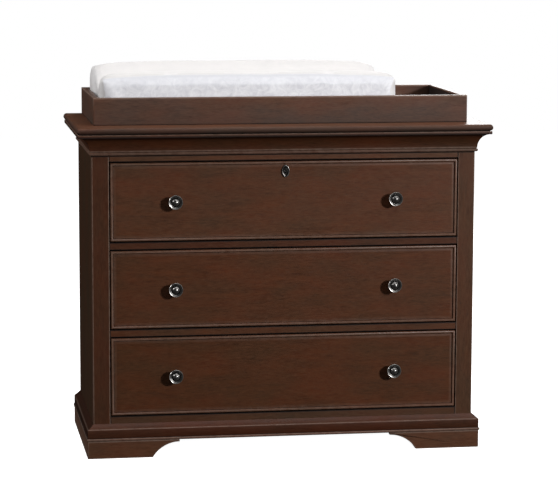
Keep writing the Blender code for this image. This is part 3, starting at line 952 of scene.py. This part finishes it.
def buildTopper():
    floorLow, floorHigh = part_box("topper_floor")
    grooveLow, grooveHigh = floorLow.z - boardGap, floorHigh.z + boardGap
    ease, margin, band = topper["ease"], topper["margin"], topper["edgeBand"]
    for node in ("topper_front", "topper_back", "topper_left", "topper_right"):
        low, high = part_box(node)
        alongX = node in ("topper_front", "topper_back")
        thickness = high.y - low.y if alongX else high.x - low.x
        section = topperSection(thickness, low.z, high.z, grooveLow, grooveHigh)
        turns = topperShapes(section)
        start, end = (low.x, high.x) if alongX else (low.y, high.y)
        outer, inwards = (low, 1) if node in ("topper_front", "topper_left") else (high, -1)
        inner = thickness - topper["grooveDepth"] - 0.001
        rings = []
        shapes = []
        # place along the board, how far the end is eased there, and its rub with a painted
        # highlight
        for place, tuck, extra in ((start, ease, 0.2), (start + 0.3 * ease, 0.3 * ease, 0.4),
                                   (start + ease, 0.0, 0.3), (start + ease + margin, 0.0, 0.0),
                                   (end - topper["cornerShade"], 0.0, 0.0),
                                   (end - ease - margin, 0.0, 0.0), (end - ease, 0.0, 0.3),
                                   (end - 0.3 * ease, 0.3 * ease, 0.4), (end, ease, 0.2)):
            ring = []
            for depth, z in section:
                depth += tuck * ((depth < band) - (depth > thickness - band))
                z += tuck * ((z < low.z + band) - (z > high.z - band))
                across = (outer.y if alongX else outer.x) + inwards * depth
                ring.append((place, across, z) if alongX else (across, place, z))
            rings.append(ring)
            outside = extra if alongX else 0.0
            shape = [max(turn, outside) if turn >= 0 else turn for turn in turns]
            # painted shadow cast inside the tray on the right board and in the back corner
            if node == "topper_right" or (node == "topper_back"
                                          and end - place < topper["cornerReach"]):
                for index, (depth, z) in enumerate(section):
                    if depth > inner and z < high.z - margin:
                        shape[index] = topper["insideShadow"]
            shapes.append(shape)
        finishPiece(node + "_board", sweepRings(rings, shapes),
                    espressoWoods["x" if alongX else "y"], "topper", node)


buildTopper()
print("changing table: topper made")


# changing pad

pad = {
    "ridgeFront": 0.045, "ridgeBack": 0.052, "crown": 0.010, "valley": 0.082,
    "frontHeight": 0.1200, "backHeight": 0.1325, "sideGap": 0.0006,
    "cornerRadius": 0.013, "slack": 0.005, "roll": 0.005, "shrink": 0.004,
    "stations": 40, "spans": 36,         # cross-sections, and steps over each
    # the cover swells no more than the cap, and topSwell past its height
    "voxel": 0.0055, "cap": 0.006, "topSwell": 0.004, "frames": 20,
    "cloth": {"use_pressure": True, "uniform_pressure_force": 3.0, "quality": 5, "mass": 0.3,
              "tension_stiffness": 18, "compression_stiffness": 18, "bending_stiffness": 0.6},
    "seamDepth": 0.0012, "seamWidth": 0.0022, "seamDrop": 0.0045,
    "frontBand": 0.03,
    "wrinkle": 0.0014, "folds": (((14, 22, 9), 0, 1.0), ((37, 30, 24), 5, 0.5)),
}


def padHeight(across, along):
    # across runs 0 to 1 from the front, along runs -1 to 1 from end to end
    ridge = pad["frontHeight"] + (pad["backHeight"] - pad["frontHeight"]) * across
    front, back = pad["ridgeFront"] / padDepth, 1 - pad["ridgeBack"] / padDepth
    inside = min(max((across - front) / (back - front), 0.0), 1.0)
    valley = (ridge - pad["valley"]) * math.sin(math.pi * inside) ** 1.5
    return ridge - valley - pad["crown"] * along ** 4


padLow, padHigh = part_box("changing_pad")
padDepth = padHigh.y - padLow.y
padHigh.x += pad["slack"]     # the cover is loose at the right end
padMiddle = (padLow.x + padHigh.x) / 2
padHalf = (padHigh.x - padLow.x) / 2


def makePadMesh():
    # closed skin through cross-sections, a little smaller than its place, because it swells
    meshData = bmesh.new()
    stations, spans = pad["stations"], pad["spans"]
    shrink, roll, radius = pad["shrink"], pad["roll"], pad["cornerRadius"]
    loops = []
    for station in range(stations + 1):
        along = -math.cos(math.pi * station / stations)
        fromEnd = (1 - abs(along)) * padHalf
        short = max(0.0, radius - fromEnd)
        tuck = radius - math.sqrt(max(radius ** 2 - short ** 2, 0.0))
        x = padMiddle + along * (padHalf - shrink)
        front, back = padLow.y + shrink + tuck * 0.8, padHigh.y - shrink - tuck * 0.8
        loop = [meshData.verts.new((x, front, padLow.z)), meshData.verts.new((x, back, padLow.z))]
        for step in range(spans + 1):
            across = 1 - step / spans
            z = padLow.z + padHeight(across, along) - shrink
            y = front + (back - front) * across
            edge = min(y - front, back - y)
            if edge < roll:
                z -= roll - math.sqrt(max(roll ** 2 - (roll - edge) ** 2, 0.0))
            loop.append(meshData.verts.new((x, y, z)))
        loops.append(loop)
    skinLoops(meshData, loops)
    bmesh.ops.recalc_face_normals(meshData, faces=meshData.faces)
    mesh = bpy.data.meshes.new("changing_pad_cover")
    meshData.to_mesh(mesh)
    meshData.free()
    piece = bpy.data.objects.new("changing_pad_cover", mesh)
    scene.collection.objects.link(piece)
    return piece


def applyModifiers(piece):
    graph = bpy.context.evaluated_depsgraph_get()
    mesh = bpy.data.meshes.new_from_object(piece.evaluated_get(graph))
    piece.modifiers.clear()
    piece.data = mesh


def readVectors(mesh, key="co"):
    values = np.empty(len(mesh.vertices) * 3)
    mesh.vertices.foreach_get(key, values)
    return values.reshape(-1, 3)


def writePoints(mesh, points, gap):
    # keeps the cover off the boards at its sides and off the tray floor
    for axis in range(2):
        points[:, axis] = np.clip(points[:, axis], padLow[axis] + gap, padHigh[axis] - gap)
    points[:, 2] = np.maximum(points[:, 2], padLow.z)
    mesh.vertices.foreach_set("co", points.ravel())
    mesh.update()


def inflatePad(piece):
    remesh = piece.modifiers.new("remesh", "REMESH")
    remesh.mode = "VOXEL"
    remesh.voxel_size = pad["voxel"]
    applyModifiers(piece)
    start = readVectors(piece.data)
    cloth = piece.modifiers.new("cloth", "CLOTH")
    for setting, value in pad["cloth"].items():
        setattr(cloth.settings, setting, value)
    cloth.settings.effector_weights.gravity = 0
    cloth.collision_settings.use_collision = False
    cloth.point_cache.frame_start = 1
    cloth.point_cache.frame_end = pad["frames"]
    for frameNumber in range(1, pad["frames"] + 1):
        scene.frame_set(frameNumber)
    applyModifiers(piece)
    scene.frame_set(1)
    move = readVectors(piece.data) - start
    reach = np.linalg.norm(move, axis=1)
    scale = np.minimum(1.0, pad["cap"] / np.maximum(reach, 1e-9))
    points = start + move * scale[:, None]
    points[:, 2] = np.minimum(points[:, 2], padHigh.z + pad["topSwell"])
    writePoints(piece.data, points, pad["sideGap"])
    smooth = piece.modifiers.new("smooth", "SMOOTH")
    smooth.factor = 0.5
    smooth.iterations = 3
    rounder = piece.modifiers.new("rounder", "SUBSURF")
    rounder.levels = 1
    rounder.render_levels = 1
    applyModifiers(piece)


def detailPad(piece):
    # seam along the front crest, soft wrinkles in the cover
    mesh = piece.data
    normals = readVectors(mesh, "normal")
    points = readVectors(mesh)
    shape = np.zeros(len(points))
    # steep faces get a fifth of the shaded side colour: painted shade
    paintedSideShade = 0.2 * np.clip((0.90 - normals[:, 2]) / 0.35, 0, 1)
    tilt = np.zeros(len(points))
    frontFace = np.clip((-normals[:, 1] - 0.3) / 0.4, 0, 1)
    for index, point in enumerate(points):
        spot = Vector(point)
        lift = min(1.0, max(0.0, (point[2] - padLow.z) / 0.03))
        fold = sum(share * noise.noise(Vector((spot.x * tight[0] + shift, spot.y * tight[1],
                                               spot.z * tight[2])))
                   for tight, shift, share in pad["folds"])
        move = pad["wrinkle"] * fold * lift * (0.5 + 0.8 * frontFace[index])
        # the seam runs where the top turns over into the front
        seamHeight = padLow.z + pad["frontHeight"] - pad["seamDrop"] - pad["crown"] * abs(
            (spot.x - padMiddle) / padHalf) ** 4
        crease = 0.0
        if spot.y < padLow.y + pad["frontBand"]:
            crease = math.exp(-(abs(spot.z - seamHeight) / pad["seamWidth"]) ** 2)
            # the front face below the seam gets the shaded side colour, darker still where it
            # bulges upwards: painted shade
            if abs(normals[index][0]) < 0.6:
                paintedSideShade[index] = min(1.0, max(0.0, (seamHeight + 0.001 - spot.z) / 0.003))
                tilt[index] = paintedSideShade[index] * min(1.0, max(0.0, normals[index][2]))
        # the seam crease is darkened: painted shade
        shape[index] = -crease
        points[index] = point + normals[index] * (move - pad["seamDepth"] * crease)
    writePoints(mesh, points, pad["sideGap"] * 0.5)
    for label, values in (("shape", shape), ("paintedSideShade", paintedSideShade), ("tilt", tilt)):
        layer = mesh.attributes.new(label, "FLOAT", "POINT")
        layer.data.foreach_set("value", values.astype(np.float32))
    mesh.shade_smooth()


padCover = makePadMesh()
inflatePad(padCover)
detailPad(padCover)
padCover.data.materials.clear()
padCover.data.materials.append(plushCloth)
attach(padCover, "pad")
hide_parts("changing_pad")
print("changing table: pad made")


# pieces that stay as the frame has them

plainWoods = (      # endings of the names, and the wood they have
    (("topper_floor",), espressoWoods["x"]),
    (("rear_rail_top", "_back"), boxWoods["x"]),
    (("_side_left", "_side_right", "_guide", "runner_bottom", "runner_middle", "runner_top"),
     boxWoods["y"]),
    (("",), thinPanel),
)
for node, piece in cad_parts.items():
    if not piece.hide_render:
        material = next(wood for endings, wood in plainWoods if node.endswith(endings))
        piece.data.materials.clear()
        piece.data.materials.append(material)


# floor, light and camera

studio = {
    "floorColor": (0.80, 0.80, 0.80), "floorSize": 9.0, "floorDrop": 0.0004,
    "floorRoughness": 0.8, "floorBounce": 0.15, "floorGloss": 0.015,
    "floorGlow": 1.0,       # what the camera sees added, so that the sweep looks white
    "worldSeen": 1.0,
    "worldLight": 0.06,      # soft light from all round
    "worldGloss": 0.022,     # what polished faces see of it
    "lights": {              # power, size, place
        "keyLight": (432.0, 0.7, (4.4, -5.2, 2.5)),
        "fillLight": (138.0, 1.8, (-4.2, -0.3, 3.1)),
        "topLight": (54.0, 2.6, (0.5, -0.5, 3.3)),
        "backLight": (90.0, 2.0, (2.2, 4.8, 2.1)),
    },
}


def addLight(name, power, size, place, target=(0.0, 0.0, 0.5)):
    light = bpy.data.lights.new(name, "AREA")
    light.energy = power
    light.size = size
    lamp = bpy.data.objects.new(name, light)
    lamp.location = place
    lamp.rotation_euler = (Vector(target) - Vector(place)).to_track_quat("-Z", "Y").to_euler()
    lamp.visible_camera = False
    scene.collection.objects.link(lamp)


def mixShader(tree, factor, first, second):
    return addNode(tree, "ShaderNodeMixShader",
                   {0: factor, 1: first.outputs[0], 2: second.outputs[0]})


def buildFloor():
    meshData = bmesh.new()
    bmesh.ops.create_grid(meshData, x_segments=8, y_segments=8, size=studio["floorSize"])
    mesh = bpy.data.meshes.new("studio_floor")
    meshData.to_mesh(mesh)
    meshData.free()
    floor = bpy.data.objects.new("studio_floor", mesh)
    floor.location.z = -studio["floorDrop"]
    scene.collection.objects.link(floor)
    material, tree, shader = startMaterial("studioFloor", studio["floorColor"])[:3]
    feedInputs(tree, shader, {"Base Color": (*studio["floorColor"], 1.0),
                              "Roughness": studio["floorRoughness"], "Specular IOR Level": 0.0})
    glow = addNode(tree, "ShaderNodeEmission", {"Strength": studio["floorGlow"]})
    both = addNode(tree, "ShaderNodeAddShader", {0: shader.outputs[0], 1: glow.outputs[0]})
    dull, bounce = (addNode(tree, "ShaderNodeBsdfDiffuse", {"Color": (shade, shade, shade, 1.0)})
                    for shade in (studio["floorGloss"], studio["floorBounce"]))
    path = tree.nodes.new("ShaderNodeLightPath").outputs
    seen = mixShader(tree, path["Is Camera Ray"], bounce, both)
    gloss = mixShader(tree, path["Is Glossy Ray"], seen, dull)
    tree.links.new(gloss.outputs[0], tree.nodes["Material Output"].inputs["Surface"])
    mesh.materials.append(material)


def buildWorld():
    world = bpy.data.worlds.new("studioWorld")
    scene.world = world
    world.use_nodes = True
    tree = world.node_tree
    tree.nodes.clear()
    output = tree.nodes.new("ShaderNodeOutputWorld")
    seen = addNode(tree, "ShaderNodeBackground",
                   {"Strength": studio["worldSeen"], "Color": (1, 1, 1, 1)})
    lighting = addNode(tree, "ShaderNodeBackground",
                       {"Strength": studio["worldLight"], "Color": (0.96, 0.98, 1.0, 1)})
    polish = addNode(tree, "ShaderNodeBackground", {"Strength": studio["worldGloss"]})
    path = tree.nodes.new("ShaderNodeLightPath").outputs
    dim = mixShader(tree, path["Is Glossy Ray"], lighting, polish)
    mix = mixShader(tree, path["Is Camera Ray"], dim, seen)
    tree.links.new(mix.outputs[0], output.inputs["Surface"])


buildFloor()
buildWorld()
for name, (power, size, place) in studio["lights"].items():
    addLight(name, power, size, place)

cameraView = {
    "place": (-1.0083, -6.4284, 1.4316),
    "yaw": 9.0619, "pitch": -7.8780, "roll": 0.1846,   # degrees
    "lens": 153.752,
}


def buildCamera():
    yaw, pitch, roll = (math.radians(cameraView[key]) for key in ("yaw", "pitch", "roll"))
    forward = Vector((math.sin(yaw) * math.cos(pitch), math.cos(yaw) * math.cos(pitch),
                      math.sin(pitch)))
    right = Vector((math.cos(yaw), -math.sin(yaw), 0.0))
    up = right.cross(forward)
    rolledRight = math.cos(roll) * right + math.sin(roll) * up
    rolledUp = -math.sin(roll) * right + math.cos(roll) * up
    camera = bpy.data.objects.new("camera", bpy.data.cameras.new("camera"))
    camera.data.lens = cameraView["lens"]
    camera.data.sensor_width = 36.0
    turn = Matrix((rolledRight, rolledUp, -forward)).transposed().to_4x4()
    camera.matrix_world = Matrix.Translation(cameraView["place"]) @ turn
    scene.collection.objects.link(camera)
    scene.camera = camera


buildCamera()
scene.view_settings.view_transform = "Standard"
print("changing table: floor, light and camera made")
